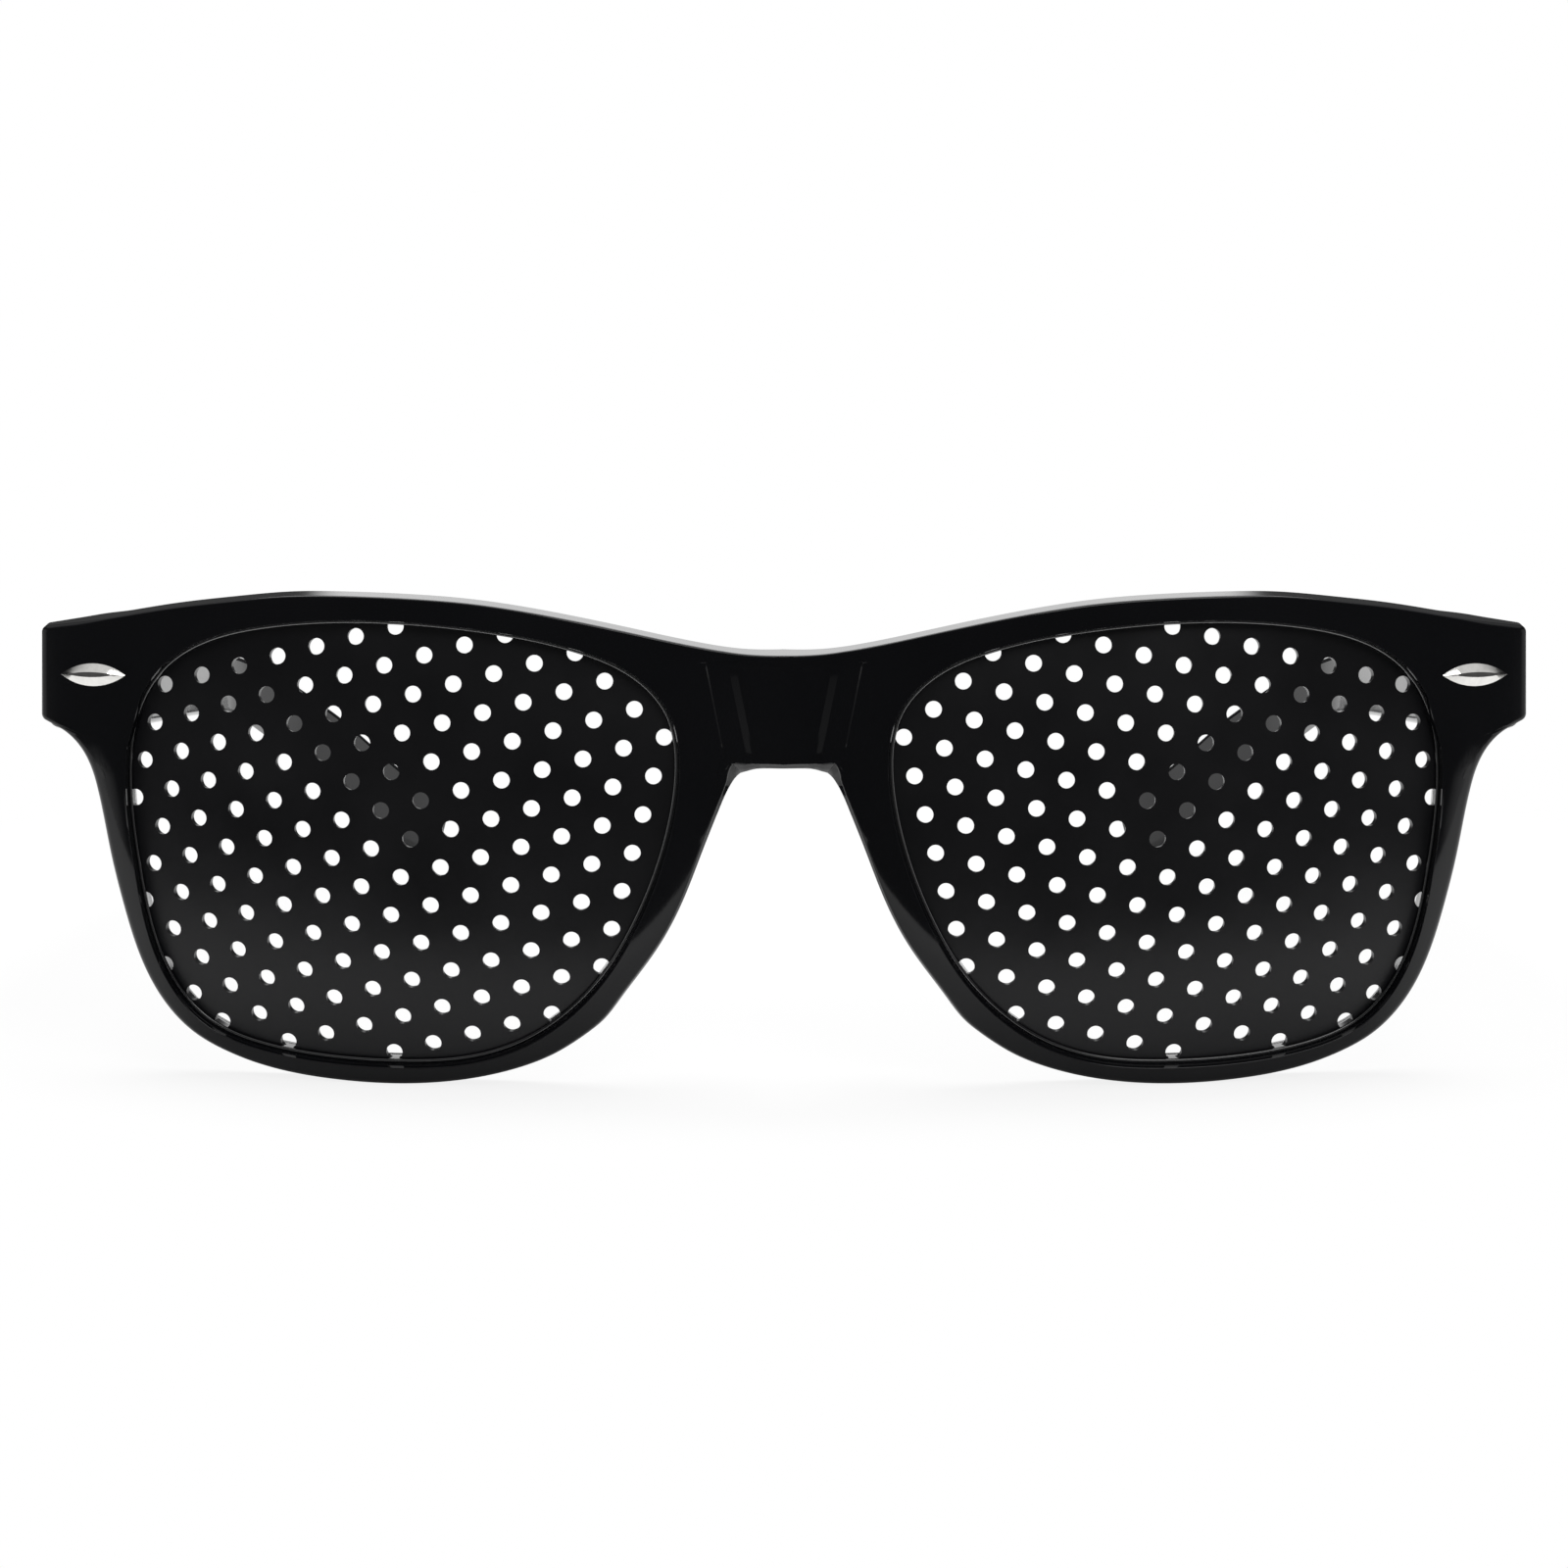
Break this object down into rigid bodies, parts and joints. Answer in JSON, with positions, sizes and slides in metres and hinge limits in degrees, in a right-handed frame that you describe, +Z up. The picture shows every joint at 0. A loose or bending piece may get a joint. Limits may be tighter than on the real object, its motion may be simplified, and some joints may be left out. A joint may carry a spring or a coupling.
{
  "type": "pinhole glasses",
  "caption": "Pinhole glasses: a glossy black plastic front with opaque dished plates pierced by rows of small round holes, and hinged plastic temples.",
  "frame": {"origin": "centre of the bottom of the open glasses' box, on the surface that they stand on", "axes": "+Z up, the face of the glasses looks along -Y, the temples reach back along +Y, +X is to the right as seen from the front in the picture"},
  "size_m": [0.1454, 0.1408, 0.0477],
  "materials": {
    "frame_plastic": "polished black moulded plastic",
    "lens_plastic": "satin black opaque sheet",
    "shield_metal": "polished silver-coloured metal",
    "hinge_metal": "satin nickel-plated metal"
  },
  "bodies": {
    "front": {"front_frame": "frame_plastic", "pinhole_lens_left": "lens_plastic", "front_rivet_shield_left": "shield_metal", "front_hinge_leaf_left": "hinge_metal", "hinge_screw_left": "hinge_metal", "pinhole_lens_right": "lens_plastic", "front_rivet_shield_right": "shield_metal", "front_hinge_leaf_right": "hinge_metal", "hinge_screw_right": "hinge_metal"},
    "left_temple": {"temple_left": "frame_plastic", "temple_hinge_leaf_left": "hinge_metal", "temple_rivet_shield_left": "shield_metal"},
    "right_temple": {"temple_right": "frame_plastic", "temple_hinge_leaf_right": "hinge_metal", "temple_rivet_shield_right": "shield_metal"}
  },
  "joints": [
    {"name": "left_temple_fold", "type": "hinge", "parent": "front", "child": "left_temple", "pos_m": [-0.067, -0.0525, 0.0386], "axis": [0, 0, -1], "range_deg": [0, 80]},
    {"name": "right_temple_fold", "type": "hinge", "parent": "front", "child": "right_temple", "pos_m": [0.067, -0.0525, 0.0386], "axis": [0, 0, 1], "range_deg": [0, 72]}
  ]
}
